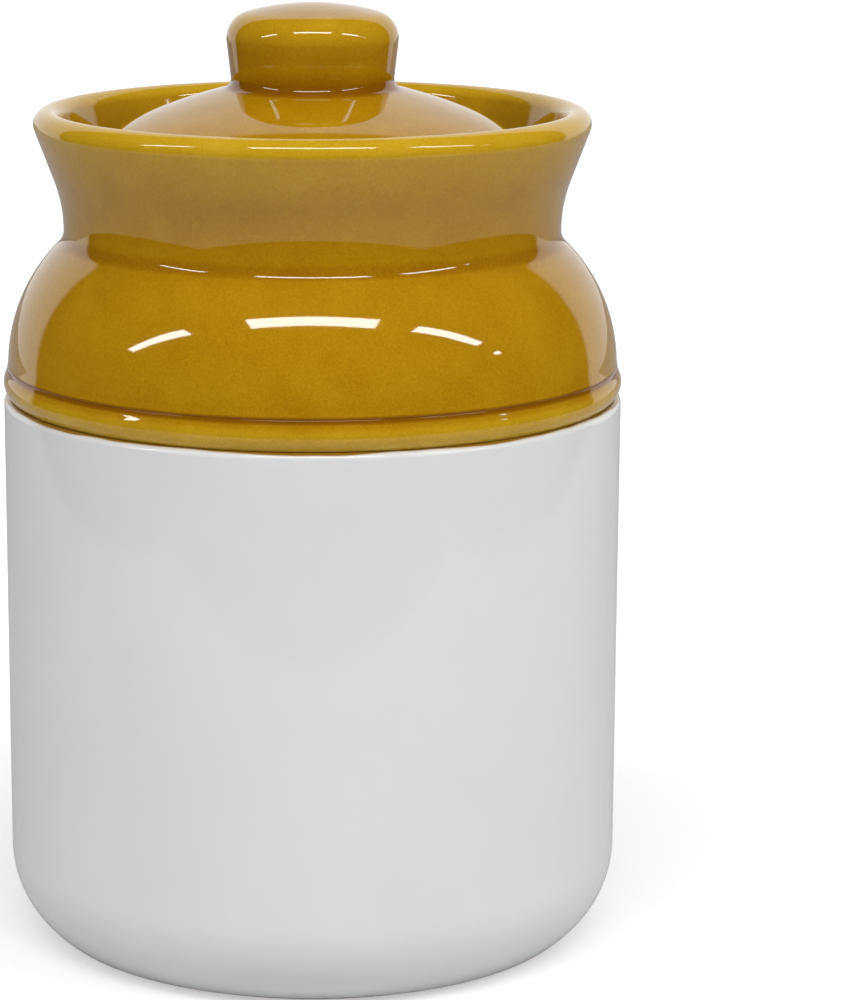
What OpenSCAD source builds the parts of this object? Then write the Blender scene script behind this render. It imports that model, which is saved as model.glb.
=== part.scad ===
// Water seal pickle jar: a glazed stoneware jar with a gutter round its neck. The lid stands in
// the gutter, and water poured round it keeps air out of the jar and lets gas bubble out.
// The jar stands on z = 0 and its axis is Z. Every piece is turned, so each one is drawn as the
// outline of its wall, in [radius, height] points, and spun round the axis.

/* [Body] */
// Outer diameter of the straight white wall
body_d = 150; // [136:1:200]
// Height of the white wall, from the table to the amber band
body_h = 133.5; // [80:0.5:240]
// Thickness of the jar's wall, glaze included
wall_t = 6; // [4.5:0.1:9]
// Thickness of the jar's floor above the foot ring
floor_t = 5.5; // [4:0.1:10]
// Radius of the round edge between the wall and the floor
base_round = 24.5; // [14:0.5:32]
// How far the foot cuts into that round edge
base_cut = 3.5; // [2:0.1:5]
// Radius of the small round edge at the top of the white wall
body_edge_round = 1.6; // [1.2:0.1:3]

/* [Foot] */
// Height of the foot ring
foot_h = 3; // [2:0.1:5]
// Width of the face that the foot ring stands on
foot_w = 9; // [5:0.5:14]
// Bevel on the inner edge of the foot ring
foot_bevel = 0.6; // [0.2:0.1:1.2]

/* [Band and shoulder] */
// Height of the raised band between the white wall and the shoulder
band_h = 7.4; // [5:0.1:12]
// How far the band bulges out of its two grooves
band_bulge = 1.9; // [1:0.1:2.4]
// How far the shoulder's foot stands in from the white wall
shoulder_in = 1.1; // [0.6:0.1:1.7]
// Radius of the shoulder's outline
shoulder_round = 40.7; // [36:0.1:48]
// Radius of the shoulder's lower edge, where it hangs over the groove
groove_round = 1; // [0.9:0.1:1.5]

/* [Collar] */
// How far the waist stands in from the white wall
waist_in = 15; // [11:0.5:20]
// Radius of the hollow between the shoulder and the waist
waist_round = 5; // [3:0.5:8]
// Height of the collar, from the waist to the top of its rim
collar_h = 29; // [26:0.5:40]
// Thickness of the collar at the waist
collar_t = 5.1; // [4:0.1:6]
// How far the rim stands out from the waist
rim_out = 6.9; // [5:0.1:8]
// Radius of the rolled rim
rim_round = 3.5; // [2.8:0.1:4.2]
// Lean of the collar's upper part, in degrees
flare_angle = 20.5; // [18:0.5:28]

/* [Gutter and throat] */
// How far the gutter's floor lies below the waist
gutter_drop = 2.6; // [0:0.1:4]
// Thickness of the gutter's floor
gutter_t = 5.7; // [4.5:0.1:8]
// Width of the gutter at its floor
gutter_w = 11.7; // [10.5:0.1:14]
// Radius of the corners inside the gutter
gutter_round = 3; // [2:0.1:3.4]
// Height of the throat above the gutter's floor
throat_h = 16; // [11:0.5:19]
// Thickness of the throat, whose lip is fully round
throat_t = 5.2; // [4.5:0.1:7]
// Radius of the corner where the throat opens into the jar
throat_round = 3; // [1.5:0.1:4]
// Radius of the corner between the gutter's underside and the shoulder
web_round = 4; // [2:0.5:6]

/* [Lid] */
// Thickness of the lid, glaze included
lid_t = 4.5; // [3.5:0.1:5.2]
// Gap all round between the throat and the lid's skirt
lid_play = 2.3; // [1.5:0.1:3]
// Height of the skirt, from its foot to the lid's widest line
skirt_h = 17.2; // [14:0.1:21]
// How far the lid's edge stands out past the skirt's foot
skirt_flare = 3.1; // [1:0.1:4]
// Radius of the lid's edge
edge_round = 8; // [7:0.1:9]
// Radius of the dome near its edge
dome_rim_round = 44; // [38:1:52]
// Radius of the dome near the knob
dome_round = 150; // [110:1:240]
// Slope of the dome where its edge begins, in degrees
edge_slope = 40; // [36:1:44]
// Slope of the dome where its flatter part begins, in degrees
dome_slope = 21; // [19:1:23]
// Gap between the skirt's foot and the gutter's glazed floor
seat_gap = 0.3; // [0.2:0.1:0.6]

/* [Knob] */
// Largest diameter of the knob
knob_d = 41.3; // [34:0.1:46]
// Height from the dome to the knob's widest line
knob_side_h = 11.8; // [9:0.1:18]
// Lean of the knob's side, in degrees
knob_lean = 6.2; // [0:0.1:9]
// Radius of the knob's upper edge
knob_round = 6.4; // [6:0.1:9]
// Radius of the knob's crown
crown_round = 60; // [40:1:120]
// Thickness of the hollow knob's wall
knob_t = 5; // [4:0.1:5.4]
// Radius of the hollow between the knob and the dome
knob_fillet = 2.5; // [1.5:0.1:4]
// Radius of the corner where the knob's hollow opens under the lid
hollow_round = 3; // [2:0.1:3.5]

/* [Glaze] */
// Thickness of every coat of glaze
glaze_t = 0.6; // [0.4:0.1:0.8]
// Height above the table at which the white glaze stops
foot_bare = 1.2; // [0.6:0.1:1.8]
// Height above the skirt's foot at which the lid's glaze stops
skirt_bare = 2; // [1:0.1:4]

/* [Hidden] */
$fn = 120;
// Largest distance between a round outline and the short straight lines that draw it
chord_error = 0.02;
// How far round the small edges beside the grooves go, in degrees
groove_turn = 80;
// How far short of its grooves the band's round stops, in degrees
band_stop = 1;
// Where the shoulder's inner face runs out into the wall's, in degrees
shoulder_inner_foot = 3;
bare_clay = [0.80, 0.72, 0.60];
amber = [0.68, 0.47, 0.09];
white = [0.90, 0.90, 0.89];
pale = [0.93, 0.91, 0.86];

// Heights and radii of the jar
body_r = body_d / 2;
groove_z = body_h + band_h;
waist_r = body_r - waist_in;
shoulder_r = body_r - shoulder_in;
floor_z = foot_h + floor_t;
inner_r = body_r - wall_t;
inner_round = base_round - wall_t;

// Centres and angles of the jar's round stretches
base_c = [body_r - base_round, base_round - base_cut];
edge_c = [body_r - body_edge_round, body_h - body_edge_round];
band_round = (pow(band_h / 2, 2) + pow(band_bulge, 2)) / (2 * band_bulge);
band_c = [body_r - band_round, body_h + band_h / 2];
band_reach = asin(band_h / 2 / band_round);
groove_r = body_r - band_bulge;
shoulder_c = [shoulder_r - shoulder_round, groove_z];
shoulder_foot = asin(groove_round / (shoulder_round - groove_round));
overhang_c = along(shoulder_c, shoulder_round - groove_round, shoulder_foot);
waist_c = [waist_r + waist_round,
           shoulder_c.y + beside(shoulder_round + waist_round, waist_r + waist_round - shoulder_c.x)];
shoulder_end = bearing(shoulder_c, waist_c);
waist_z = waist_c.y;
rim_c = [waist_r + rim_out - rim_round, waist_z + collar_h - rim_round];
flare_top = along(rim_c, rim_round, -flare_angle);
flare_foot_z = flare_top.y - (flare_top.x - waist_r) / tan(flare_angle);
flare_round = (flare_foot_z - waist_z) / tan(flare_angle / 2);
flare_c = [waist_r + flare_round, waist_z];
collar_bend = flare_angle / 2;
collar_bend_top = along(flare_c, flare_round + collar_t, 180 - collar_bend);
rim_inner_end = tangent_heading(collar_bend_top, rim_c, rim_round, 1) + 90;

gutter_z = waist_z - gutter_drop;
gutter_outer_r = waist_r - collar_t;
throat_outer_r = gutter_outer_r - gutter_w;
throat_r = throat_outer_r - throat_t;
throat_lip = throat_t / 2;
throat_lip_c = [throat_r + throat_lip, gutter_z + throat_h - throat_lip];
gutter_corner_z = gutter_z + gutter_round;
web_z = gutter_z - gutter_t;
shoulder_inner_round = shoulder_round - wall_t;
web_c_z = web_z - web_round;
web_c = [shoulder_c.x + beside(shoulder_inner_round - web_round, web_c_z - shoulder_c.y),
         web_c_z];
web_end = bearing(shoulder_c, web_c);

// Centres and angles of the lid's round stretches
seat_z = gutter_z + seat_gap;
skirt_foot_r = throat_outer_r + lid_play + lid_t;
lid_edge_c = [skirt_foot_r + skirt_flare - edge_round, seat_z + skirt_h];
lid_rim_c = along(lid_edge_c, edge_round - dome_rim_round, 90 - edge_slope);
dome_c = along(lid_rim_c, dome_rim_round - dome_round, 90 - dome_slope);
skirt_turn = tangent_heading([skirt_foot_r, seat_z], lid_edge_c, edge_round, -1) - 90;
// Bevel on both edges of the skirt's foot
skirt_foot_bevel = 1;

knob_c_r = knob_d / 2 - knob_round;
knob_c = [knob_c_r, dome_c.y + beside(dome_round, knob_d / 2 - dome_c.x) + knob_side_h];
crown_c = [0, knob_c.y - beside(crown_round - knob_round, knob_c_r)];
crown_turn = bearing(crown_c, knob_c);
knob_down = -90 - knob_lean;
fillet_c = reach(along(knob_c, knob_round + knob_fillet, -knob_lean), knob_down,
                 dome_c, dome_round + knob_fillet);
dome_end = bearing(dome_c, fillet_c);
hollow_c = reach(along(knob_c, knob_round - knob_t + hollow_round, -knob_lean), knob_down,
                 dome_c, dome_round - lid_t + hollow_round);
hollow_end = bearing(dome_c, hollow_c);

// A point at a distance and a bearing from another
function along(p, distance, angle) = p + distance * [cos(angle), sin(angle)];

// The bearing of one point from another
function bearing(from, to) = atan2(to.y - from.y, to.x - from.x);

// The other short side of a right triangle
function beside(slant, side) = sqrt(slant * slant - side * side);

// Where a line from p first comes within a distance of a centre
function reach(p, angle, c, distance) =
    let (d = p - c, b = d * [cos(angle), sin(angle)])
    along(p, -b - beside(distance, beside(norm(d), b)), angle);

// The heading of a line from p that touches a circle, which lies left of it (-1) or right (1)
function tangent_heading(p, c, r, side) = bearing(p, c) + side * asin(r / norm(c - p));

// A round stretch of an outline, as short straight lines
function arc(c, r, from, to) =
    let (step = 2 * acos(1 - chord_error / max(r, 1)), n = max(2, ceil(abs(to - from) / step)))
    [for (i = [0:n]) along(c, r, from + (to - from) * i / n)];

function backwards(points) = [for (i = [len(points) - 1:-1:0]) points[i]];

// The stretches below follow the glazed surface from the foot, up the outside, over the rim and
// through the gutter, and down the inside. Each takes t, how far below that surface it runs: 0
// gives the face of the glaze and glaze_t gives the clay under it.
function base_angle(t, z) = -asin((base_c.y - z) / (base_round - t));
function base_arc(t, from_z, to_z) =
    arc(base_c, base_round - t, base_angle(t, from_z), base_angle(t, to_z));
function base_stretch(t) = base_arc(t, foot_h, base_c.y);
function foot_stretch(t) = base_arc(t, foot_bare, foot_h);
function body_edge_stretch(t) =
    concat(arc(edge_c, body_edge_round - t, 0, groove_turn), [white_end(t)]);
function white_end(t) = [groove_r - t, body_h];
function band_stretch(t) =
    let (turn = band_reach - band_stop)
    concat([white_end(t)], arc(band_c, band_round - t, -turn, turn), [[groove_r - t, groove_z]]);
function shoulder_stretch(t) =
    concat(arc(overhang_c, groove_round - t, -groove_turn, 0),
           arc(shoulder_c, shoulder_round - t, shoulder_foot, shoulder_end));
function waist_stretch(t) = arc(waist_c, waist_round + t, 180 + shoulder_end, 180);
function flare_stretch(t) = arc(flare_c, flare_round + t, 180, 180 - flare_angle);
function rim_stretch(t) = arc(rim_c, rim_round - t, -flare_angle, rim_inner_end);
function collar_inner_stretch(t) =
    arc(flare_c, flare_round + collar_t - t, 180 - collar_bend, 180);
function gutter_stretch(t) =
    concat(arc([gutter_outer_r - gutter_round, gutter_corner_z], gutter_round + t, 0, -90),
           arc([throat_outer_r + gutter_round, gutter_corner_z], gutter_round + t, 270, 180));
function throat_lip_stretch(t) = arc(throat_lip_c, throat_lip - t, 0, 180);
function throat_inner_stretch(t) =
    arc([throat_r + throat_round, web_z + throat_round], throat_round - t, 180, 270);
function web_stretch(t) = arc(web_c, web_round + t, 90, web_end);
function shoulder_inner_stretch(t) =
    arc(shoulder_c, shoulder_inner_round + t, web_end, shoulder_inner_foot);
function wall_inner_top(t) = [inner_r + t, body_h];
function wall_inner_stretch(t) =
    concat([wall_inner_top(t)],
           arc([inner_r - inner_round, floor_z + inner_round], inner_round + t, 0, -90),
           [[0, floor_z - t]]);

// The lid's stretches, in the same way: up the outside to the top of the knob, and up the inside.
// On the inside the clay lies outwards of the glaze, so the skirt's t is negative there and its
// depth is the lid's thickness.
function skirt_side(t, depth) =
    along(lid_edge_c, edge_round - t - depth, skirt_turn);
function skirt_point(t, depth, from_z) =
    let (top = skirt_side(t, depth))
    [top.x + (top.y - from_z) * tan(skirt_turn), from_z];
function dome_stretch(t) =
    concat(arc(lid_edge_c, edge_round - t, skirt_turn, 90 - edge_slope),
           arc(lid_rim_c, dome_rim_round - t, 90 - edge_slope, 90 - dome_slope),
           arc(dome_c, dome_round - t, 90 - dome_slope, dome_end),
           arc(fillet_c, knob_fillet + t, 180 + dome_end, 180 - knob_lean));
function knob_stretch(t) =
    concat(arc(knob_c, knob_round - t, -knob_lean, crown_turn),
           arc(crown_c, crown_round - t, crown_turn, 90));
function dome_inner_stretch(t) =
    concat(arc(lid_edge_c, edge_round - lid_t + t, skirt_turn, 90 - edge_slope),
           arc(lid_rim_c, dome_rim_round - lid_t + t, 90 - edge_slope, 90 - dome_slope),
           arc(dome_c, dome_round - lid_t + t, 90 - dome_slope, hollow_end),
           arc(hollow_c, hollow_round - t, 180 + hollow_end, 180 - knob_lean));
function knob_inner_stretch(t) =
    concat(arc(knob_c, knob_round - knob_t + t, -knob_lean, crown_turn),
           arc(crown_c, crown_round - knob_t + t, crown_turn, 90));
function knob_seat(t) = along(fillet_c, -knob_fillet - t, -knob_lean);
function hollow_seat(t) = along(hollow_c, t - hollow_round, -knob_lean);

// A turned solid between two stretches that run the same way
module turned(outer, inner) {
    rotate_extrude() polygon(concat(outer, backwards(inner)));
}

// The jar's clay
module foot_ring() {
    standing = base_arc(glaze_t, 0, foot_bare);
    inner = standing[0].x - foot_w;
    color(bare_clay)
        turned(concat(standing, foot_stretch(glaze_t)),
               [[inner + foot_bevel, 0], [inner, foot_bevel], [inner, foot_h]]);
}

module pot_wall() {
    color(bare_clay)
        turned(concat([[0, foot_h]], base_stretch(glaze_t), body_edge_stretch(glaze_t)),
               backwards(wall_inner_stretch(glaze_t)));
}

module shoulder_ring() {
    color(bare_clay)
        turned(concat(band_stretch(glaze_t), shoulder_stretch(glaze_t)),
               backwards(concat(web_stretch(glaze_t), shoulder_inner_stretch(glaze_t),
                                [wall_inner_top(glaze_t)])));
}

module gutter_ring() {
    waist_top = [gutter_outer_r + glaze_t, waist_z];
    color(bare_clay)
        turned(concat(waist_stretch(glaze_t), [waist_top], gutter_stretch(glaze_t)),
               concat([web_stretch(glaze_t)[0]], backwards(throat_inner_stretch(glaze_t)),
                      [[throat_r + glaze_t, gutter_corner_z]]));
}

module collar() {
    color(bare_clay)
        turned(concat(flare_stretch(glaze_t), rim_stretch(glaze_t)),
               backwards(collar_inner_stretch(glaze_t)));
}

module throat_ring() {
    lip = throat_lip_stretch(glaze_t);
    color(bare_clay)
        turned(concat([[lip[0].x, gutter_corner_z]], lip),
               [[throat_r + glaze_t, gutter_corner_z]]);
}

// The jar's glaze
function white_stretch(t) =
    concat(foot_stretch(t), base_stretch(t), body_edge_stretch(t));

module white_glaze() {
    color(white) turned(white_stretch(0), white_stretch(glaze_t));
}

function amber_stretch(t) =
    concat(band_stretch(t), shoulder_stretch(t), waist_stretch(t), flare_stretch(t),
           rim_stretch(t), collar_inner_stretch(t), gutter_stretch(t), throat_lip_stretch(t));

module amber_glaze() {
    color(amber) turned(amber_stretch(0), amber_stretch(glaze_t));
}

function liner_stretch(t) =
    concat([throat_lip_stretch(t)[len(throat_lip_stretch(t)) - 1]], throat_inner_stretch(t),
           web_stretch(t), shoulder_inner_stretch(t), wall_inner_stretch(t));

module liner_glaze() {
    color(pale) turned(liner_stretch(0), liner_stretch(glaze_t));
}

// The lid's clay
module lid_skirt() {
    outer_foot = skirt_point(glaze_t, 0, seat_z);
    inner_foot = skirt_point(-glaze_t, lid_t, seat_z);
    color(bare_clay)
        turned([outer_foot - [skirt_foot_bevel, 0],
                skirt_point(glaze_t, 0, seat_z + skirt_foot_bevel), skirt_side(glaze_t, 0)],
               [inner_foot + [skirt_foot_bevel, 0],
                skirt_point(-glaze_t, lid_t, seat_z + skirt_foot_bevel),
                skirt_side(-glaze_t, lid_t)]);
}

module lid_dome() {
    color(bare_clay) turned(dome_stretch(glaze_t), dome_inner_stretch(glaze_t));
}

module lid_knob() {
    color(bare_clay)
        turned(concat([knob_seat(glaze_t)], knob_stretch(glaze_t)),
               concat([hollow_seat(glaze_t)], knob_inner_stretch(glaze_t)));
}

// The lid's glaze
module lid_glaze() {
    color(amber)
        turned(concat([skirt_point(0, 0, seat_z + skirt_bare)], dome_stretch(0), knob_stretch(0)),
               concat([skirt_point(glaze_t, 0, seat_z + skirt_bare)], dome_stretch(glaze_t),
                      knob_stretch(glaze_t)));
}

module lid_liner() {
    color(pale)
        turned(concat([skirt_point(-glaze_t, lid_t, seat_z + skirt_bare)],
                      dome_inner_stretch(glaze_t), knob_inner_stretch(glaze_t)),
               concat([skirt_point(0, lid_t, seat_z + skirt_bare)], dome_inner_stretch(0),
                      knob_inner_stretch(0)));
}

foot_ring();
pot_wall();
shoulder_ring();
gutter_ring();
collar();
throat_ring();
white_glaze();
amber_glaze();
liner_glaze();
lid_dome();
lid_skirt();
lid_knob();
lid_glaze();
lid_liner();
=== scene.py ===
import math
import bmesh
import bpy
import numpy as np
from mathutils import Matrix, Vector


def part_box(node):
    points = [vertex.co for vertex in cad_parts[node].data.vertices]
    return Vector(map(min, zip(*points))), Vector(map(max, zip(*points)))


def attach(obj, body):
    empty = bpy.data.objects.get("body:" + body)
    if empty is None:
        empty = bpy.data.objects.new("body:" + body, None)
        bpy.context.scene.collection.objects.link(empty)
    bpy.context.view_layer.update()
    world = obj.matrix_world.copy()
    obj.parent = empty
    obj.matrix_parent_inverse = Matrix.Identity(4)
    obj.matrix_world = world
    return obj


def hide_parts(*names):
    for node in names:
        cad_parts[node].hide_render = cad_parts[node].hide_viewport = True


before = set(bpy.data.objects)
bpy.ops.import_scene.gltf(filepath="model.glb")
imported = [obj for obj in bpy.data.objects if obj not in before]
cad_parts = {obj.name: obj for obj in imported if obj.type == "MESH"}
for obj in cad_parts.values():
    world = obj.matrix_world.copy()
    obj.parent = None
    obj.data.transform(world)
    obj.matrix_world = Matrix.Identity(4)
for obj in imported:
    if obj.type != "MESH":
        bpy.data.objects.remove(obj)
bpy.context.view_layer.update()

scene = bpy.context.scene
mm = 0.001


# Short ways to build node trees

def addNode(tree, kind, **settings):
    node = tree.nodes.new(kind)
    for name, value in settings.items():
        setattr(node, name, value)
    return node


def give(tree, socket, value):
    # a socket is linked in, and anything else becomes the input's own value
    if isinstance(value, bpy.types.NodeSocket):
        tree.links.new(value, socket)
    else:
        socket.default_value = value


def calc(tree, operation, *values, clamp=False):
    node = addNode(tree, "ShaderNodeMath", operation=operation, use_clamp=clamp)
    for slot, value in enumerate(values):
        give(tree, node.inputs[slot], value)
    return node.outputs[0]


def vectorCalc(tree, operation, *values):
    node = addNode(tree, "ShaderNodeVectorMath", operation=operation)
    for slot, value in enumerate(values):
        name = "Scale" if operation == "SCALE" and slot == 1 else slot
        give(tree, node.inputs[name], value)
    return node.outputs["Value" if operation == "LENGTH" else "Vector"]


def noise(tree, vector, grain, seed, detail, rough=0.5):
    # a grain is the size of one lump, in metres
    node = addNode(tree, "ShaderNodeTexNoise", noise_dimensions="4D")
    give(tree, node.inputs["Vector"], vector)
    give(tree, node.inputs["W"], seed)
    give(tree, node.inputs["Scale"], calc(tree, "DIVIDE", 1.0, grain))
    give(tree, node.inputs["Detail"], detail)
    give(tree, node.inputs["Roughness"], rough)
    return node.outputs[0]


def span(tree, value, low, high, toLow=0.0, toHigh=1.0, smooth=False):
    node = addNode(tree, "ShaderNodeMapRange", clamp=True,
                   interpolation_type="SMOOTHSTEP" if smooth else "LINEAR")
    for slot, item in enumerate((value, low, high, toLow, toHigh)):
        give(tree, node.inputs[slot], item)
    return node.outputs[0]


def blendColour(tree, factor, first, second):
    node = addNode(tree, "ShaderNodeMix", data_type="RGBA")
    give(tree, node.inputs[0], factor)
    give(tree, node.inputs[6], first)
    give(tree, node.inputs[7], second)
    return node.outputs[2]


def addSockets(tree, inputs, outputs):
    for name, kind, default in inputs:
        socket = tree.interface.new_socket(name, in_out="INPUT", socket_type=kind)
        if default is not None:
            socket.default_value = default
    for name, kind in outputs:
        tree.interface.new_socket(name, in_out="OUTPUT", socket_type=kind)
    source = addNode(tree, "NodeGroupInput")
    target = addNode(tree, "NodeGroupOutput")
    return source.outputs, target.inputs


# The wheel: a tree that turns an outline round the jar's axis and lets it wander a little

wheel = {
    "turns": 256,             # sides round the axis
    "hub": 0.5,               # radius of the ring that carries the outline
    "wobble": 0.16 * mm,      # how far a thrown wall wanders
    "wobbleSize": 42 * mm,
    "ripple": 0.035 * mm,     # faint rings from the potter's rib
    "ripplePitch": 5.5 * mm,
    "seed": 11,
    "seedStep": 3.7,          # how far apart in the noise two seeds lie
    "weld": 0.002 * mm,       # points closer than this are one
    "sharp": 38,              # degrees, from which an edge is shaded sharp
}


def buildWheel():
    tree = bpy.data.node_groups.new("turnOnWheel", "GeometryNodeTree")
    tree.is_modifier = True
    source, target = addSockets(
        tree,
        [("Geometry", "NodeSocketGeometry", None), ("Turns", "NodeSocketInt", 64),
         ("Hub", "NodeSocketFloat", 0.5), ("Wobble", "NodeSocketFloat", 0.0),
         ("Wobble Size", "NodeSocketFloat", 0.04), ("Ripple", "NodeSocketFloat", 0.0),
         ("Ripple Pitch", "NodeSocketFloat", 0.005), ("Seed", "NodeSocketInt", 0),
         ("Finish", "NodeSocketMaterial", None)],
        [("Geometry", "NodeSocketGeometry")])
    outline = addNode(tree, "GeometryNodeMeshToCurve")
    give(tree, outline.inputs["Mesh"], source["Geometry"])
    ring = addNode(tree, "GeometryNodeCurvePrimitiveCircle", mode="RADIUS")
    give(tree, ring.inputs["Resolution"], source["Turns"])
    give(tree, ring.inputs["Radius"], source["Hub"])
    upright = addNode(tree, "GeometryNodeSetCurveNormal", mode="Z_UP")
    give(tree, upright.inputs["Curve"], ring.outputs["Curve"])
    spin = addNode(tree, "GeometryNodeCurveToMesh")
    give(tree, spin.inputs["Curve"], upright.outputs["Curve"])
    give(tree, spin.inputs["Profile Curve"], outline.outputs["Curve"])
    closed = addNode(tree, "GeometryNodeMergeByDistance")
    give(tree, closed.inputs["Geometry"], spin.outputs["Mesh"])
    give(tree, closed.inputs["Distance"], wheel["weld"])

    place = addNode(tree, "GeometryNodeInputPosition").outputs[0]
    outward = vectorCalc(tree, "NORMALIZE", vectorCalc(tree, "MULTIPLY", place, (1, 1, 0)))
    height = addNode(tree, "ShaderNodeSeparateXYZ")
    give(tree, height.inputs[0], place)
    seed = calc(tree, "MULTIPLY", source["Seed"], wheel["seedStep"])
    wander = calc(tree, "SUBTRACT", noise(tree, place, source["Wobble Size"], seed, 1.0), 1.0)
    wander = calc(tree, "MULTIPLY", wander, source["Wobble"])
    rings = addNode(tree, "ShaderNodeTexNoise", noise_dimensions="1D")
    give(tree, rings.inputs["W"], calc(tree, "ADD", seed, calc(
        tree, "DIVIDE", height.outputs["Z"], source["Ripple Pitch"])))
    give(tree, rings.inputs["Scale"], 1.0)
    give(tree, rings.inputs["Detail"], 1.0)
    rib = calc(tree, "MULTIPLY", calc(tree, "SUBTRACT", rings.outputs[0], 1.0), source["Ripple"])
    shift = vectorCalc(tree, "SCALE", outward, calc(tree, "ADD", wander, rib))
    moved = addNode(tree, "GeometryNodeSetPosition")
    give(tree, moved.inputs["Geometry"], closed.outputs["Geometry"])
    give(tree, moved.inputs["Offset"], shift)

    real = addNode(tree, "GeometryNodeRealizeInstances")
    give(tree, real.inputs["Geometry"], moved.outputs["Geometry"])
    finish = addNode(tree, "GeometryNodeSetMaterial")
    give(tree, finish.inputs["Geometry"], real.outputs["Geometry"])
    give(tree, finish.inputs["Material"], source["Finish"])
    give(tree, target["Geometry"], finish.outputs["Geometry"])
    return tree


# Outlines: each turned CAD node is cut at y = 0, and its round stretches are drawn finer

outlining = {
    "grid": 0.0001 * mm,      # two corners closer than this are one
    "straight": 0.002,        # radians: a corner that turns less than this is no corner
    "edge": 0.6,              # radians: a corner that turns more than this is no part of an arc
    "likeness": 0.004,        # how like each other in length an arc's chords are
    "turnLikeness": 0.02,     # how like each other in turn they are
    "bow": 0.003 * mm,        # largest distance between an arc and its new chords
    "longest": 2.1 * mm,      # longest new chord
    "blur": 0.9 * mm,         # how far a bend is felt along the outline
}

# Glaze that settles in the grooves by the band, and turns them the amber's pooled brown with painted
# shade

settling = {
    "width": 1.6 * mm,        # how wide a hollow fills
    "rounds": 3,              # more rounds fill it further
    "depth": 6e5,             # how much of a bend a metre of filling counts as
    "beyond": 70 * mm,        # only this far from the axis
    "least": 0.01 * mm,       # a filling thinner than this is left out
    "fine": 0.15 * mm,        # step at which the filled outline is worked out
    "stray": 0.0096 * mm,     # largest distance between it and its last chords
}


def sectionOf(nodeName):
    # [radius, height] points in order, and whether they close on themselves
    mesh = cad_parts[nodeName].data
    grid = outlining["grid"]
    key = {v.index: (round(v.co.x / grid), round(v.co.z / grid)) for v in mesh.vertices
           if abs(v.co.y) < grid and v.co.x > -grid}
    place = {key[i]: (mesh.vertices[i].co.x, mesh.vertices[i].co.z) for i in key}
    links = {}
    for edge in mesh.edges:
        a, b = edge.vertices
        if a in key and b in key and key[a] != key[b]:
            links.setdefault(key[a], set()).add(key[b])
            links.setdefault(key[b], set()).add(key[a])
    ends = sorted(k for k in links if len(links[k]) == 1)
    start = ends[0] if ends else max(links)
    chain, before = [start], None
    while True:
        ahead = sorted(k for k in links[chain[-1]] if k != before and k != start)
        if not ahead:
            break
        before = chain[-1]
        chain.append(ahead[0])
    points = [place[k] for k in chain]
    if ends:      # a flat floor has no edge to its middle, so the outline runs to the axis
        points = [(0.0, points[0][1])] * (points[0][0] > grid) + points
        points = points + [(0.0, points[-1][1])] * (points[-1][0] > grid)
    return np.array(points), not ends


def chordsOf(points, closed):
    step = np.roll(points, -1, 0) - points if closed else points[1:] - points[:-1]
    length = np.hypot(step[:, 0], step[:, 1])
    heading = np.arctan2(step[:, 1], step[:, 0])
    turn = (np.roll(heading, -1) - heading + math.pi) % (2 * math.pi) - math.pi
    return length, heading, turn


def withoutStraights(points, closed):
    turn = chordsOf(points, closed)[2]
    bends = np.roll(np.abs(turn) > outlining["straight"], 1)
    if not closed:
        bends = np.append(np.abs(turn[:-1]) > outlining["straight"], True)
        bends = np.insert(bends, 0, True)
    return points[bends]


def rounded(points, closed):
    # chords of one length and turn are an arc, which is drawn again through its true circle
    length, heading, turn = chordsOf(points, closed)
    count = len(length)
    like = outlining["likeness"]
    alike = [abs(length[i] - length[(i + 1) % count]) < like * length[i] + outlining["grid"]
             and outlining["straight"] < abs(turn[i]) < outlining["edge"] for i in range(count)]
    if not closed:
        alike[-1] = False
    first = 0
    while closed and alike[first - 1]:
        first += 1
    fine, done = [], 0
    while done < count:
        i = (first + done) % count
        slack = outlining["turnLikeness"] * abs(turn[i])
        run = 1
        while (done + run < count and alike[(i + run - 1) % count]
               and (run == 1 or abs(turn[(i + run - 1) % count] - turn[i]) < slack)):
            run += 1
        done += run
        start = points[i % len(points)]
        if run == 1:
            fine.append(start)
            continue
        side = math.copysign(1.0, turn[i])
        radius = length[i] / (2 * math.sin(abs(turn[i]) / 2))
        leaving = heading[i] - turn[i] / 2
        centre = start + side * radius * np.array([-math.sin(leaving), math.cos(leaving)])
        total = turn[i] * run
        most = 2 * math.acos(1 - outlining["bow"] / max(radius, 2 * outlining["bow"]))
        parts = math.ceil(max(abs(total) / most, abs(total) * radius / outlining["longest"]))
        for k in range(parts):
            angle = leaving + total * k / parts
            fine.append(centre - side * radius * np.array([-math.sin(angle), math.cos(angle)]))
    if not closed:
        fine.append(points[-1])
    return np.array(fine)


def areaOf(points):
    # more than 0 where the outline runs anticlockwise
    return 0.5 * np.sum(points[:, 0] * np.roll(points[:, 1], -1)
                        - np.roll(points[:, 0], -1) * points[:, 1])


def blurred(values, sigma):
    # a soft average round a closed outline, over a number of its fine steps
    reach = math.ceil(4 * sigma)
    weight = np.exp(-(np.arange(-reach, reach + 1) / sigma) ** 2 / 2)
    padded = np.concatenate([values[-reach:], values, values[:reach]])
    return np.convolve(padded, weight / weight.sum(), "valid")


def thinnedTo(points, stray):
    # the points that are kept where a fine outline strays from its chords
    last = len(points) - 1
    keep, spans = {0, last}, [(0, last)]
    while spans:
        a, b = spans.pop()
        if b - a < 2:
            continue
        chord = points[b] - points[a]
        off = points[a + 1:b] - points[a]
        away = np.abs(off[:, 0] * chord[1] - off[:, 1] * chord[0]) / np.hypot(*chord)
        if away.max() > stray:
            worst = a + 1 + int(np.argmax(away))
            keep.add(worst)
            spans += [(a, worst), (worst, b)]
    return sorted(keep)


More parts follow.
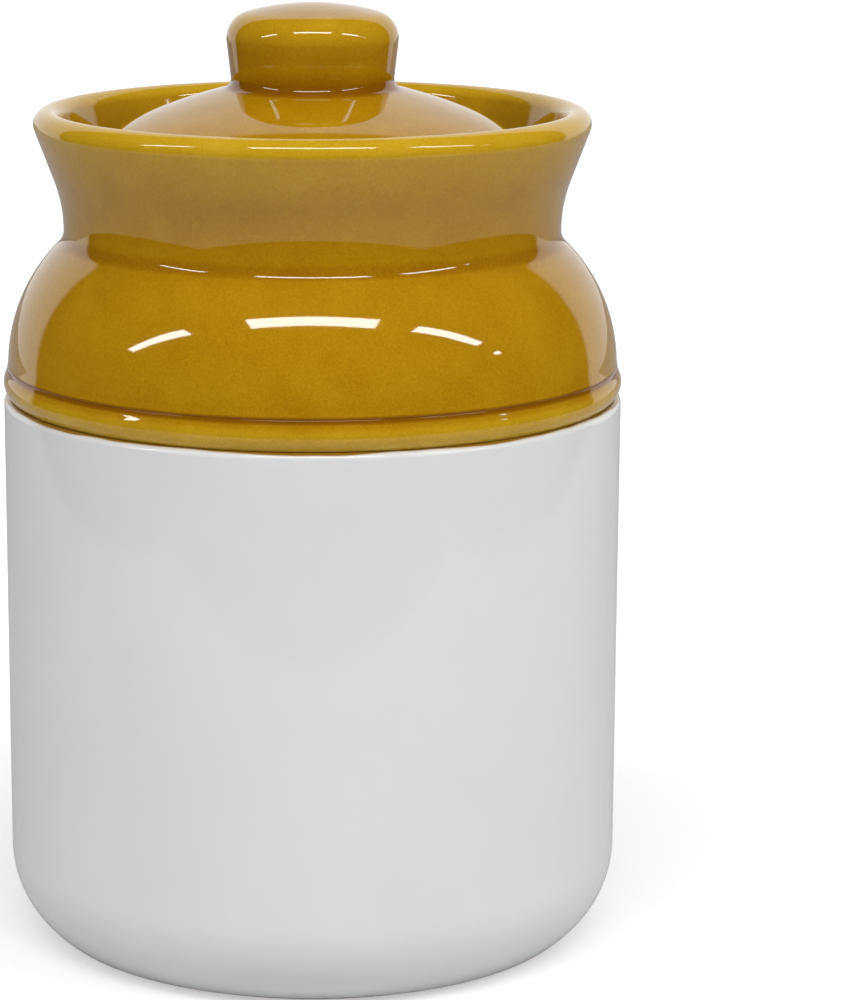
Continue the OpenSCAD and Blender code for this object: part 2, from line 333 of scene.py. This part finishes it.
def settled(points):
    # the filled outline, and how deep the filling is at each of its points
    length = chordsOf(points, True)[0]
    along = np.concatenate([[0], np.cumsum(length)])
    count = math.ceil(along[-1] / settling["fine"])
    at = np.arange(count) * along[-1] / count
    ring = np.vstack([points, points[:1]])
    fine = np.stack([np.interp(at, along, ring[:, axis]) for axis in (0, 1)], 1)
    sigma = settling["width"] / settling["fine"]
    side = math.copysign(1.0, areaOf(fine))
    filling = np.zeros(count)
    for _ in range(settling["rounds"]):
        soft = np.stack([blurred(fine[:, axis], sigma) for axis in (0, 1)], 1)
        heading = np.roll(soft, -1, 0) - np.roll(soft, 1, 0)
        outward = side * np.stack([heading[:, 1], -heading[:, 0]], 1)
        outward /= np.hypot(outward[:, 0], outward[:, 1])[:, None]
        rise = blurred(np.maximum(np.sum((soft - fine) * outward, 1), 0.0), sigma / 3)
        rise *= (rise > settling["least"]) & (fine[:, 0] > settling["beyond"])
        fine = fine + outward * rise[:, None]
        filling += rise
    keep = thinnedTo(fine, settling["stray"])
    return fine[keep], filling[keep]


def bendOf(points, closed):
    # how sharply the glazed face bends, per metre: more than 0 where it stands proud
    length, _, turn = chordsOf(points, closed)
    if closed:
        corner = np.roll(turn, 1)
        along = np.concatenate([[0], np.cumsum(length)[:-1]])
    else:
        corner = np.concatenate([[0], turn[:-1], [0]])
        along = np.concatenate([[0], np.cumsum(length)])
    gap = np.abs(along[:, None] - along[None, :])
    if closed:
        gap = np.minimum(gap, length.sum() - gap)
    reach = outlining["blur"]
    weight = np.exp(-(gap / reach) ** 2 / 2) / (reach * math.sqrt(2 * math.pi))
    return math.copysign(1.0, areaOf(points)) * weight @ corner


wheelTree = buildWheel()


def turnPiece(name, nodeName, material, body, filled=False):
    points, closed = sectionOf(nodeName)
    points = rounded(withoutStraights(points, closed), closed)
    filling = 0.0
    if filled:
        points, filling = settled(points)
    # a filled groove counts as a deep hollow, so the amber there takes its pooled brown with painted
    # shade
    bend = bendOf(points, closed) - filling * settling["depth"]
    count = len(points)
    mesh = bpy.data.meshes.new(name)
    edges = [(i, i + 1) for i in range(count - 1)] + [(count - 1, 0)] * closed
    mesh.from_pydata([(r - wheel["hub"], -z, 0) for r, z in points], edges, [])
    mesh.attributes.new("bend", "FLOAT", "POINT").data.foreach_set("value", bend)
    drawn = bpy.data.objects.new(name, mesh)
    scene.collection.objects.link(drawn)
    spin = drawn.modifiers.new("wheel", "NODES")
    spin.node_group = wheelTree
    settings = {"Turns": wheel["turns"], "Hub": wheel["hub"], "Wobble": wheel["wobble"],
                "Wobble Size": wheel["wobbleSize"], "Ripple": wheel["ripple"],
                "Ripple Pitch": wheel["ripplePitch"], "Seed": wheel["seed"], "Finish": material}
    for item in wheelTree.interface.items_tree:
        if item.in_out == "INPUT" and item.name in settings:
            spin[item.identifier] = settings[item.name]
    bpy.context.view_layer.update()
    graph = bpy.context.evaluated_depsgraph_get()
    turned = bpy.data.meshes.new_from_object(drawn.evaluated_get(graph))
    bpy.data.objects.remove(drawn)
    bm = bmesh.new()
    bm.from_mesh(turned)
    bmesh.ops.remove_doubles(bm, verts=bm.verts, dist=wheel["weld"])
    bmesh.ops.recalc_face_normals(bm, faces=bm.faces)
    bm.to_mesh(turned)
    bm.free()
    turned.shade_smooth()
    turned.set_sharp_from_angle(angle=math.radians(wheel["sharp"]))
    turned.name = name
    piece = bpy.data.objects.new(name, turned)
    scene.collection.objects.link(piece)
    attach(piece, body)
    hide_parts(nodeName)
    top = max(v.co.z for v in turned.vertices) / mm
    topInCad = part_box(nodeName)[1].z / mm
    print(f"turned {name}: {len(turned.polygons)} faces, top {top:.2f} mm, in the CAD {topInCad:.2f} mm")


# Effects that several finishes share

def buildSpeckle():
    # fine grains in a glaze or a clay, about 0 where nothing shows
    tree = bpy.data.node_groups.new("speckle", "ShaderNodeTree")
    source, target = addSockets(
        tree, [("Grain", "NodeSocketFloat", 0.0005), ("Cloud", "NodeSocketFloat", 0.01),
               ("Seed", "NodeSocketFloat", 0.0)],
        [("Grains", "NodeSocketFloat"), ("Clouds", "NodeSocketFloat")])
    place = addNode(tree, "ShaderNodeTexCoord").outputs["Object"]
    fine = noise(tree, place, source["Grain"], source["Seed"], 3.0, 0.65)
    broad = noise(tree, place, source["Cloud"], source["Seed"], 3.0, 0.55)
    give(tree, target["Grains"], calc(tree, "MULTIPLY", calc(tree, "SUBTRACT", fine, 0.5), 2.0))
    give(tree, target["Clouds"], calc(tree, "MULTIPLY", calc(tree, "SUBTRACT", broad, 0.5), 2.0))
    return tree


def buildFlecks():
    # sparse dark flecks of iron or ash, 1 inside a fleck
    tree = bpy.data.node_groups.new("flecks", "ShaderNodeTree")
    source, target = addSockets(
        tree, [("Spacing", "NodeSocketFloat", 0.006), ("Size", "NodeSocketFloat", 0.0003),
               ("Share", "NodeSocketFloat", 0.3), ("Seed", "NodeSocketFloat", 0.0)],
        [("Mask", "NodeSocketFloat")])
    place = addNode(tree, "ShaderNodeTexCoord").outputs["Object"]
    cells = addNode(tree, "ShaderNodeTexVoronoi", voronoi_dimensions="4D", feature="F1")
    give(tree, cells.inputs["Vector"], place)
    give(tree, cells.inputs["W"], source["Seed"])
    give(tree, cells.inputs["Scale"], calc(tree, "DIVIDE", 1.0, source["Spacing"]))
    away = calc(tree, "MULTIPLY", cells.outputs["Distance"], source["Spacing"])
    chosen = addNode(tree, "ShaderNodeSeparateColor")
    give(tree, chosen.inputs[0], cells.outputs["Color"])
    picked = calc(tree, "LESS_THAN", chosen.outputs[0], source["Share"])
    radius = calc(tree, "MULTIPLY", source["Size"], calc(tree, "ADD", 0.5, chosen.outputs[1]))
    inside = span(tree, away, calc(tree, "MULTIPLY", radius, 0.5), radius, 1.0, 0.0)
    give(tree, target["Mask"], calc(tree, "MULTIPLY", inside, picked))
    return tree


orangePeel = {"wider": 6.0, "higher": 3.0}    # the broad lumps beside the small ones


def buildOrangePeel():
    # the faint lumpiness of a fired glaze, as a height in metres
    tree = bpy.data.node_groups.new("orangePeel", "ShaderNodeTree")
    source, target = addSockets(
        tree, [("Lump", "NodeSocketFloat", 0.002), ("Depth", "NodeSocketFloat", 0.00001),
               ("Seed", "NodeSocketFloat", 0.0)],
        [("Height", "NodeSocketFloat")])
    place = addNode(tree, "ShaderNodeTexCoord").outputs["Object"]
    lumps = noise(tree, place, source["Lump"], source["Seed"], 1.5, 0.4)
    broad = calc(tree, "MULTIPLY", source["Lump"], orangePeel["wider"])
    wide = noise(tree, place, broad, source["Seed"], 1.0, 0.4)
    height = calc(tree, "ADD", lumps, calc(tree, "MULTIPLY", wide, orangePeel["higher"]))
    give(tree, target["Height"], calc(tree, "MULTIPLY", height, source["Depth"]))
    return tree


breaking = {
    "slack": 90.0,            # per metre: a hollow wider than this keeps its glaze even
    "mostThin": 0.4, "mostDeep": -0.5,
}


def buildBreaking():
    # glaze runs thin where the clay stands proud and pools where it dips: 0 deep, 1 thin; in the amber
    # glaze the lighter proud edges are partly a painted highlight and the darker hollows partly painted
    # shade
    tree = bpy.data.node_groups.new("breaking", "ShaderNodeTree")
    source, target = addSockets(
        tree, [("Thinning", "NodeSocketFloat", 0.001), ("Pooling", "NodeSocketFloat", 0.001),
               ("Plain", "NodeSocketFloat", 0.5)],
        [("Thinness", "NodeSocketFloat")])
    bend = addNode(tree, "ShaderNodeAttribute", attribute_name="bend").outputs["Fac"]
    proud = calc(tree, "MULTIPLY", calc(tree, "MAXIMUM", bend, 0.0), source["Thinning"])
    hollow = calc(tree, "MINIMUM", calc(tree, "ADD", bend, breaking["slack"]), 0.0)
    dip = calc(tree, "MULTIPLY", hollow, source["Pooling"])
    proud = calc(tree, "MINIMUM", proud, breaking["mostThin"])
    dip = calc(tree, "MAXIMUM", dip, breaking["mostDeep"])
    give(tree, target["Thinness"], calc(tree, "ADD", source["Plain"], calc(tree, "ADD", proud, dip)))
    return tree


glazeLine = {
    "waveFrom": 0.36, "waveTo": 0.72,    # part of the noise over which the line runs down
    "rimReach": -3.0,                    # how far below the line its rim is felt, in softnesses
}


def buildGlazeLine():
    # 1 above the line where the amber glaze stops, which wanders round the jar
    tree = bpy.data.node_groups.new("glazeLine", "ShaderNodeTree")
    source, target = addSockets(
        tree, [("Height", "NodeSocketFloat", 0.13), ("Run", "NodeSocketFloat", 0.001),
               ("Wave", "NodeSocketFloat", 0.03), ("Softness", "NodeSocketFloat", 0.0002),
               ("Seed", "NodeSocketFloat", 0.0)],
        [("Mask", "NodeSocketFloat"), ("Rim", "NodeSocketFloat")])
    place = addNode(tree, "ShaderNodeTexCoord").outputs["Object"]
    split = addNode(tree, "ShaderNodeSeparateXYZ")
    give(tree, split.inputs[0], place)
    flat = vectorCalc(tree, "MULTIPLY", place, (1, 1, 0))
    wave = noise(tree, flat, source["Wave"], source["Seed"], 2.5, 0.5)
    run = span(tree, wave, glazeLine["waveFrom"], glazeLine["waveTo"], 0.0, source["Run"])
    over = calc(tree, "SUBTRACT", split.outputs["Z"], calc(tree, "SUBTRACT", source["Height"], run))
    soft = source["Softness"]
    give(tree, target["Mask"], span(tree, over, calc(tree, "MULTIPLY", soft, -0.5), soft, smooth=True))
    below = calc(tree, "MULTIPLY", soft, glazeLine["rimReach"])
    give(tree, target["Rim"], span(tree, over, below, 0.0, smooth=True))
    return tree


speckleGroup = buildSpeckle()
fleckGroup = buildFlecks()
peelGroup = buildOrangePeel()
breakingGroup = buildBreaking()
lineGroup = buildGlazeLine()
print("built the wheel and the shared effects")


def useGroup(tree, group, **values):
    node = addNode(tree, "ShaderNodeGroup", node_tree=group)
    for name, value in values.items():
        give(tree, node.inputs[name], value)
    return node.outputs


def newFinish(name, **settings):
    material = bpy.data.materials.new(name)
    material.use_nodes = True
    tree = material.node_tree
    tree.nodes.clear()
    shader = addNode(tree, "ShaderNodeBsdfPrincipled")
    for socket, value in settings.items():
        shader.inputs[socket.replace("_", " ")].default_value = value
    output = addNode(tree, "ShaderNodeOutputMaterial")
    tree.links.new(shader.outputs[0], output.inputs[0])
    return material, tree, shader


def bumped(tree, shader, height):
    # the height is in metres
    node = addNode(tree, "ShaderNodeBump")
    node.inputs["Strength"].default_value = 1.0
    node.inputs["Distance"].default_value = 1.0
    give(tree, node.inputs["Height"], height)
    give(tree, shader.inputs["Normal"], node.outputs[0])


def ramp(tree, factor, stops):
    node = addNode(tree, "ShaderNodeValToRGB")
    band = node.color_ramp
    while len(band.elements) < len(stops):
        band.elements.new(0.5)
    for element, (at, colour) in zip(band.elements, stops):
        element.position = at
        element.color = (*colour, 1.0)
    give(tree, node.inputs[0], factor)
    return node.outputs[0]


# Amber glaze: honey brown, yellow where it breaks over an edge, brown where it pools; the yellow on the
# ridges is partly a painted highlight, and the brown in the grooves partly painted shade

amberGlaze = {
    # pooled and deep: the glaze's own brown where it pools, made darker as painted shade in the grooves;
    # thin: its yellow over an edge, made lighter as a painted highlight on the ridges
    "pooledAndShaded": (0.225, 0.078, 0.0008), "deep": (0.300, 0.125, 0.0015), "plain": (0.430, 0.215, 0.003),
    "thin": (0.600, 0.360, 0.012), "bare": (0.72, 0.50, 0.10),
    "deepAt": 0.28, "plainAt": 0.5, "thinAt": 0.78,
    "thinning": 0.0009, "pooling": 0.0016,    # metres: how strongly a bend changes the depth
    "grain": 0.45 * mm, "cloud": 9 * mm, "grainShare": 0.22, "cloudShare": 0.10,
    "lump": 1.6 * mm, "depth": 0.0012 * mm,
    "roughness": 0.045, "seed": 2.0, "peelSeed": 1.0,
}


def amberColour(tree):
    s = amberGlaze
    thin = useGroup(tree, breakingGroup, Thinning=s["thinning"], Pooling=s["pooling"], Plain=s["plainAt"])
    specks = useGroup(tree, speckleGroup, Grain=s["grain"], Cloud=s["cloud"], Seed=s["seed"])
    grains = calc(tree, "MULTIPLY", specks["Grains"], s["grainShare"])
    clouds = calc(tree, "MULTIPLY", specks["Clouds"], s["cloudShare"])
    depth = calc(tree, "ADD", thin["Thinness"], calc(tree, "ADD", grains, clouds), clamp=True)
    # the ramp runs from the pooled brown with painted shade in the grooves to the thin yellow with a
    # painted highlight on the ridges
    return ramp(tree, depth, [(0.0, s["pooledAndShaded"]), (s["deepAt"], s["deep"]), (s["plainAt"], s["plain"]),
                              (s["thinAt"], s["thin"]), (1.0, s["bare"])])


def makeAmberGlaze():
    s = amberGlaze
    material, tree, shader = newFinish("amberGlaze", Roughness=s["roughness"], IOR=1.5)
    give(tree, shader.inputs["Base Color"], amberColour(tree))
    peel = useGroup(tree, peelGroup, Lump=s["lump"], Depth=s["depth"], Seed=s["peelSeed"])
    bumped(tree, shader, peel["Height"])
    return material


# White glaze: cool and glossy, with the amber running a little over its upper edge

whiteGlaze = {
    "colour": (0.80, 0.81, 0.815), "warmer": (0.765, 0.77, 0.765), "fleck": (0.30, 0.27, 0.24),
    "over": (0.30, 0.15, 0.012), "rim": (0.55, 0.42, 0.22), "rimShare": 0.35,
    "cloud": 26 * mm, "cloudDepth": 0.6, "grain": 0.5 * mm,
    "fleckSpacing": 14 * mm, "fleckSize": 0.28 * mm, "fleckShare": 0.22, "fleckDepth": 0.6,
    "lineBelow": 0.1 * mm,    # how far under the coat's top the line between the glazes lies
    "run": 0.9 * mm, "wave": 34 * mm, "edge": 0.16 * mm,
    "lump": 2.2 * mm, "depth": 0.0010 * mm,
    "roughness": 0.07, "seed": 5.0, "fleckSeed": 3.0, "lineSeed": 4.0, "peelSeed": 6.0,
}


def makeWhiteGlaze():
    s = whiteGlaze
    material, tree, shader = newFinish("whiteGlaze", Roughness=s["roughness"], IOR=1.5)
    specks = useGroup(tree, speckleGroup, Grain=s["grain"], Cloud=s["cloud"], Seed=s["seed"])
    clouds = span(tree, specks["Clouds"], -s["cloudDepth"], s["cloudDepth"])
    colour = blendColour(tree, clouds, (*s["warmer"], 1), (*s["colour"], 1))
    flecks = useGroup(tree, fleckGroup, Spacing=s["fleckSpacing"], Size=s["fleckSize"],
                      Share=s["fleckShare"], Seed=s["fleckSeed"])
    spotted = calc(tree, "MULTIPLY", flecks["Mask"], s["fleckDepth"])
    colour = blendColour(tree, spotted, colour, (*s["fleck"], 1))
    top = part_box("white_glaze")[1].z
    line = useGroup(tree, lineGroup, Height=top - s["lineBelow"], Run=s["run"], Wave=s["wave"],
                    Softness=s["edge"], Seed=s["lineSeed"])
    rim = calc(tree, "MULTIPLY", line["Rim"], s["rimShare"])
    colour = blendColour(tree, rim, colour, (*s["rim"], 1))
    colour = blendColour(tree, line["Mask"], colour, (*s["over"], 1))
    give(tree, shader.inputs["Base Color"], colour)
    peel = useGroup(tree, peelGroup, Lump=s["lump"], Depth=s["depth"], Seed=s["peelSeed"])
    bumped(tree, shader, peel["Height"])
    return material


# Pale glaze inside the jar and under the lid

paleGlaze = {
    "colour": (0.80, 0.755, 0.66), "deep": (0.70, 0.63, 0.51), "fleck": (0.25, 0.17, 0.10),
    "grain": 0.6 * mm, "cloud": 18 * mm, "cloudShare": 0.3,
    "thinning": 0.0008, "pooling": 0.0008, "level": 0.55,
    "fleckSpacing": 7 * mm, "fleckSize": 0.3 * mm, "fleckShare": 0.35, "fleckDepth": 0.7,
    "lump": 2.2 * mm, "peel": 0.0016 * mm,
    "roughness": 0.09, "seed": 8.0, "fleckSeed": 7.0, "peelSeed": 9.0,
}


def makePaleGlaze():
    s = paleGlaze
    material, tree, shader = newFinish("paleGlaze", Roughness=s["roughness"], IOR=1.5)
    specks = useGroup(tree, speckleGroup, Grain=s["grain"], Cloud=s["cloud"], Seed=s["seed"])
    thin = useGroup(tree, breakingGroup, Thinning=s["thinning"], Pooling=s["pooling"], Plain=s["level"])
    clouds = calc(tree, "MULTIPLY", specks["Clouds"], s["cloudShare"])
    depth = calc(tree, "ADD", thin["Thinness"], clouds, clamp=True)
    colour = blendColour(tree, depth, (*s["deep"], 1), (*s["colour"], 1))
    flecks = useGroup(tree, fleckGroup, Spacing=s["fleckSpacing"], Size=s["fleckSize"],
                      Share=s["fleckShare"], Seed=s["fleckSeed"])
    spotted = calc(tree, "MULTIPLY", flecks["Mask"], s["fleckDepth"])
    colour = blendColour(tree, spotted, colour, (*s["fleck"], 1))
    give(tree, shader.inputs["Base Color"], colour)
    peel = useGroup(tree, peelGroup, Lump=s["lump"], Depth=s["peel"], Seed=s["peelSeed"])
    bumped(tree, shader, peel["Height"])
    return material


# Fired clay, bare on the foot and on the skirt's foot, and hidden under the glaze elsewhere

firedClay = {
    "colour": (0.62, 0.50, 0.37), "dark": (0.47, 0.36, 0.25), "light": (0.72, 0.62, 0.49),
    "fleck": (0.16, 0.10, 0.06), "grain": 0.35 * mm, "cloud": 12 * mm, "cloudDepth": 0.5,
    "grainTo": 0.7, "darkShare": 0.7,
    "fleckSpacing": 2.6 * mm, "fleckSize": 0.22 * mm, "fleckShare": 0.4, "fleckDepth": 0.8,
    "depth": 0.045 * mm,
    "smoothest": 0.8, "roughest": 0.95,
    "seed": 12.0, "fleckSeed": 13.0,
}


def makeFiredClay():
    s = firedClay
    material, tree, shader = newFinish("firedClay", IOR=1.45)
    specks = useGroup(tree, speckleGroup, Grain=s["grain"], Cloud=s["cloud"], Seed=s["seed"])
    clouds = span(tree, specks["Clouds"], -s["cloudDepth"], s["cloudDepth"])
    colour = blendColour(tree, clouds, (*s["colour"], 1), (*s["light"], 1))
    grains = span(tree, specks["Grains"], 0.0, s["grainTo"], 0.0, s["darkShare"])
    colour = blendColour(tree, grains, colour, (*s["dark"], 1))
    flecks = useGroup(tree, fleckGroup, Spacing=s["fleckSpacing"], Size=s["fleckSize"],
                      Share=s["fleckShare"], Seed=s["fleckSeed"])
    spotted = calc(tree, "MULTIPLY", flecks["Mask"], s["fleckDepth"])
    colour = blendColour(tree, spotted, colour, (*s["fleck"], 1))
    give(tree, shader.inputs["Base Color"], colour)
    rough = span(tree, specks["Grains"], -0.8, 0.8, s["smoothest"], s["roughest"])
    give(tree, shader.inputs["Roughness"], rough)
    bumped(tree, shader, calc(tree, "MULTIPLY", specks["Grains"], s["depth"]))
    return material


amber = makeAmberGlaze()
white = makeWhiteGlaze()
pale = makePaleGlaze()
clay = makeFiredClay()
print("mixed the glazes and the clay")

turnPiece("whiteCoat", "white_glaze", white, "jar")
turnPiece("amberCoat", "amber_glaze", amber, "jar", filled=True)
turnPiece("linerCoat", "liner_glaze", pale, "jar")
turnPiece("footRing", "foot_ring", clay, "jar")
turnPiece("lidCoat", "lid_glaze", amber, "lid")
turnPiece("lidLiner", "lid_liner", pale, "lid")
turnPiece("skirtFoot", "lid_skirt", clay, "lid")
for nodeName in ("pot_wall", "shoulder_ring", "gutter_ring", "collar", "throat_ring",
                 "lid_dome", "lid_knob"):
    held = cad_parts[nodeName]
    held.data.materials.clear()
    held.data.materials.append(clay)
print("turned and glazed every piece")


# Floor: a pale table that ends in front of the jar, and shows as white away from its shadow

table = {
    "colour": (0.66, 0.66, 0.66), "roughness": 0.9,
    "front": 0.42, "frontSide": 0.50, "back": 3.4, "backSide": 1.6,
    "nearGlow": 0.45, "farGlow": 0.86,      # what the camera sees on top of the light
    "glowFrom": 0.09, "glowTo": 0.40,       # distances from the jar's axis between the two
    "mirrorGlow": 0.04,                     # what a glossy ray sees on top of the light
}


def layFloor():
    mesh = bpy.data.meshes.new("floor")
    mesh.from_pydata([(-table["frontSide"], -table["front"], 0), (table["frontSide"], -table["front"], 0),
                      (table["backSide"], table["back"], 0), (-table["backSide"], table["back"], 0)],
                     [], [(0, 1, 2, 3)])
    floor = bpy.data.objects.new("floor", mesh)
    scene.collection.objects.link(floor)
    finish, tree, shader = newFinish("paleFloor", Roughness=table["roughness"], IOR=1.3)
    shader.inputs["Base Color"].default_value = (*table["colour"], 1)
    shader.inputs["Emission Color"].default_value = (1, 1, 1, 1)
    path = addNode(tree, "ShaderNodeLightPath").outputs
    seen = calc(tree, "MAXIMUM", path["Is Camera Ray"], path["Is Transmission Ray"])
    away = vectorCalc(tree, "LENGTH", addNode(tree, "ShaderNodeTexCoord").outputs["Object"])
    glow = span(tree, away, table["glowFrom"], table["glowTo"], table["nearGlow"], table["farGlow"])
    glow = calc(tree, "MULTIPLY", seen, glow)
    mirrored = calc(tree, "MULTIPLY", path["Is Glossy Ray"], table["mirrorGlow"])
    give(tree, shader.inputs["Emission Strength"], calc(tree, "ADD", glow, mirrored))
    mesh.materials.append(finish)


layFloor()


# Lamps: a row of tubes overhead, a little in front of the jar

tubes = {
    "height": 1.0, "front": -0.67, "depth": 0.13,
    "power": 60.0,            # watts per square metre
    "row": {"middle": (0.0, 0.80), "left": (-1.62, 1.36), "right": (1.23, 1.05), "end": (2.55, 0.22)},
}


def hangLamp(name, across, wide):
    light = bpy.data.lights.new(name, "AREA")
    light.shape = "RECTANGLE"
    light.size = wide
    light.size_y = tubes["depth"]
    light.energy = tubes["power"] * wide * tubes["depth"]
    lamp = bpy.data.objects.new(name, light)
    scene.collection.objects.link(lamp)
    lamp.location = (across, tubes["front"], tubes["height"])
    lamp.visible_camera = False


for tubeName, (across, wide) in tubes["row"].items():
    hangLamp(tubeName + "Lamp", across, wide)


# Room: soft light from all round, a white cloth behind and a dark room in front in the glaze's mirror

room = {
    "fill": 0.42, "fillRight": 0.14, "fillTop": 0.03,    # light from all round, more to the right
    "clothFrom": 0.55, "clothTo": 0.60,                  # how far back a ray points, 1 straight back
    "clothGlow": 1.0, "darkGlow": 0.02,
}


def lightRoom():
    world = bpy.data.worlds.new("studio")
    scene.world = world
    world.use_nodes = True
    tree = world.node_tree
    tree.nodes.clear()
    path = addNode(tree, "ShaderNodeLightPath").outputs
    way = addNode(tree, "ShaderNodeSeparateXYZ")
    give(tree, way.inputs[0], addNode(tree, "ShaderNodeTexCoord").outputs["Generated"])
    right = calc(tree, "MULTIPLY", way.outputs["X"], room["fillRight"])
    top = calc(tree, "MULTIPLY", way.outputs["Z"], room["fillTop"])
    fill = calc(tree, "ADD", calc(tree, "ADD", room["fill"], right), top)
    behind = span(tree, way.outputs["Y"], room["clothFrom"], room["clothTo"], smooth=True)
    mirrored = span(tree, behind, 0.0, 1.0, room["darkGlow"], room["clothGlow"])
    change = calc(tree, "MULTIPLY", path["Is Glossy Ray"], calc(tree, "SUBTRACT", mirrored, fill))
    strength = calc(tree, "ADD", fill, change)
    clear = calc(tree, "MAXIMUM", path["Is Camera Ray"], path["Is Transmission Ray"])
    change = calc(tree, "MULTIPLY", clear, calc(tree, "SUBTRACT", 1.0, strength))
    strength = calc(tree, "ADD", strength, change)
    background = addNode(tree, "ShaderNodeBackground")
    give(tree, background.inputs["Color"], (1, 1, 1, 1))
    give(tree, background.inputs["Strength"], strength)
    output = addNode(tree, "ShaderNodeOutputWorld")
    tree.links.new(background.outputs[0], output.inputs[0])


lightRoom()
scene.view_settings.view_transform = "Standard"


# Camera: found from the jar's outline in the photograph

view = {
    "distance": 0.8514, "height": 0.2968,
    "down": 12.61,            # degrees under the horizon
    "lens": 128.0, "sensor": 36.0, "shift": 0.112, "nearest": 0.05,
}

lensData = bpy.data.cameras.new("camera")
lensData.lens = view["lens"]
lensData.sensor_width = view["sensor"]
lensData.shift_x = view["shift"]
lensData.clip_start = view["nearest"]
camera = bpy.data.objects.new("camera", lensData)
scene.collection.objects.link(camera)
camera.location = (0, -view["distance"], view["height"])
camera.rotation_euler = (math.radians(90 - view["down"]), 0, 0)
scene.camera = camera
print("set up the studio and the camera")
